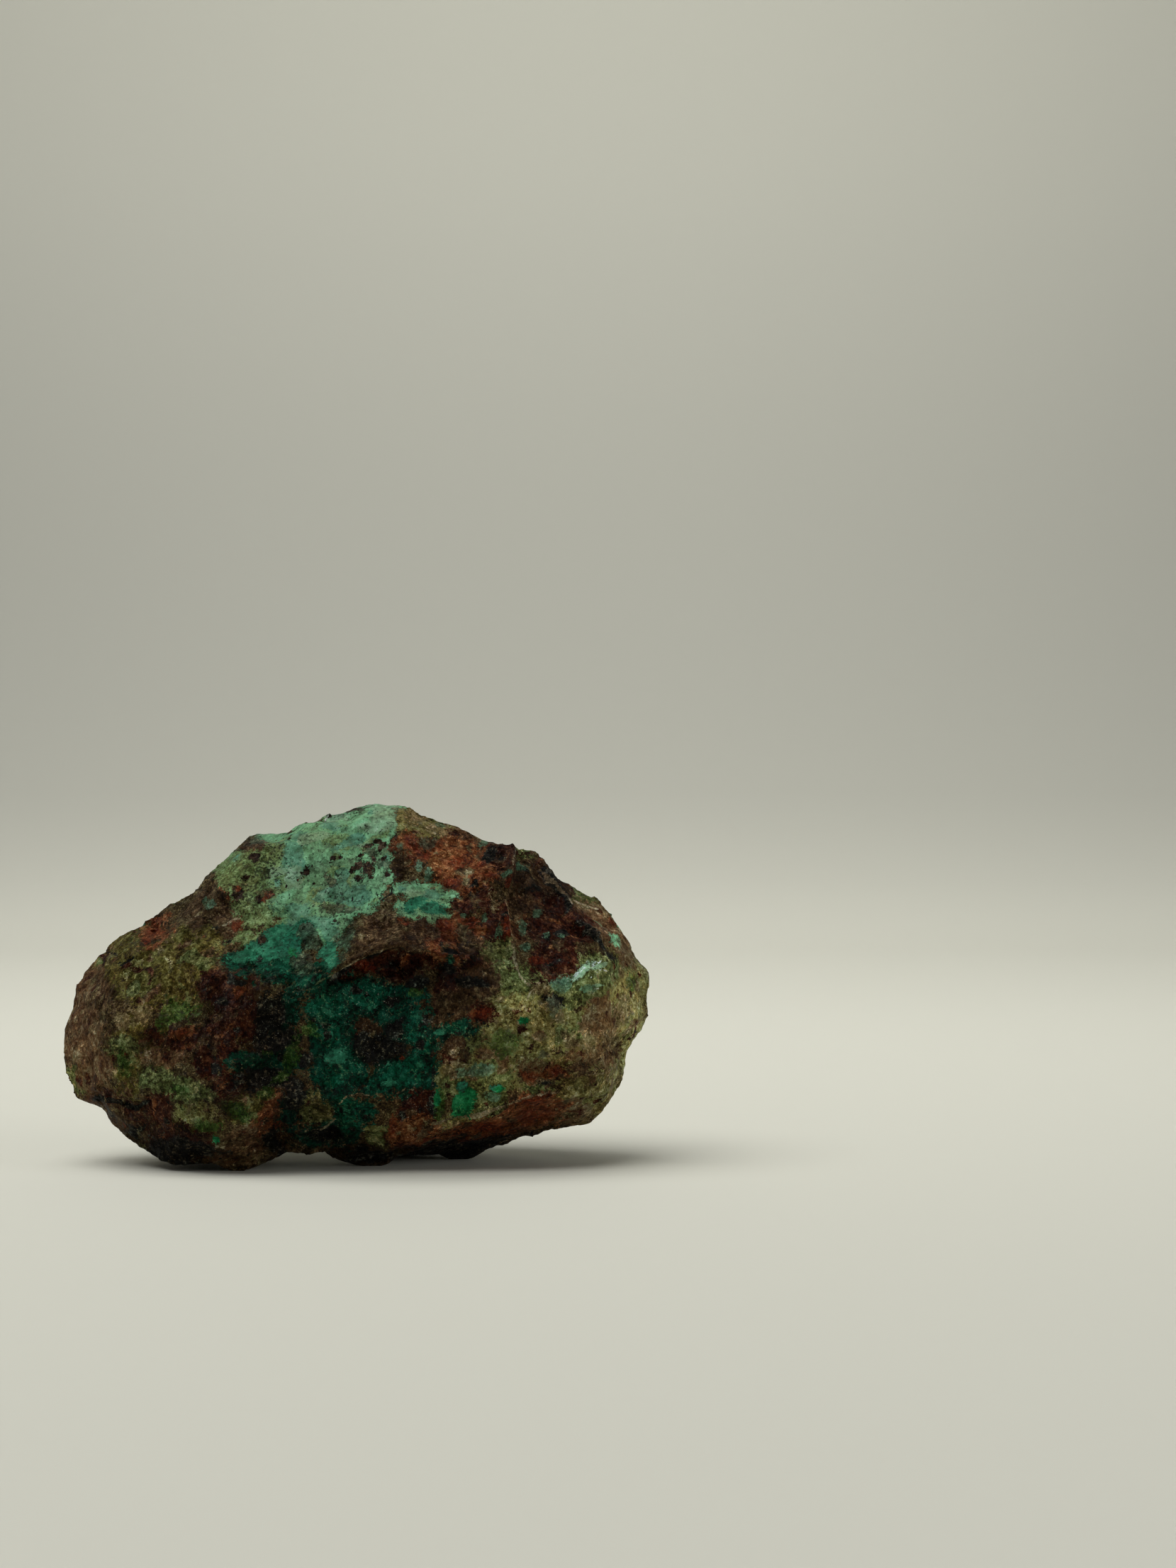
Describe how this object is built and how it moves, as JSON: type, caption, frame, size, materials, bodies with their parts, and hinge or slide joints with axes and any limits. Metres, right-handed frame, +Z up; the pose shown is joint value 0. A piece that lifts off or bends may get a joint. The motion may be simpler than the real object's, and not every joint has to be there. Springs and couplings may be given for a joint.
{
  "type": "rough turquoise stone",
  "caption": "Rough lump of turquoise in brown and olive host rock, with a ledge and a spur on its front, that rests on small flat feet.",
  "frame": {"origin": "on the ground below the middle of the stone's box", "axes": "+X along the stone's length, the front with the turquoise face looks along -Y, +Z up"},
  "size_m": [0.0836, 0.0412, 0.0509],
  "materials": {
    "stone": "rough mineral: mint and teal turquoise in rust-brown, olive and dark host rock"
  },
  "bodies": {
    "root": {"turquoise_stone": "stone"}
  },
  "joints": []
}
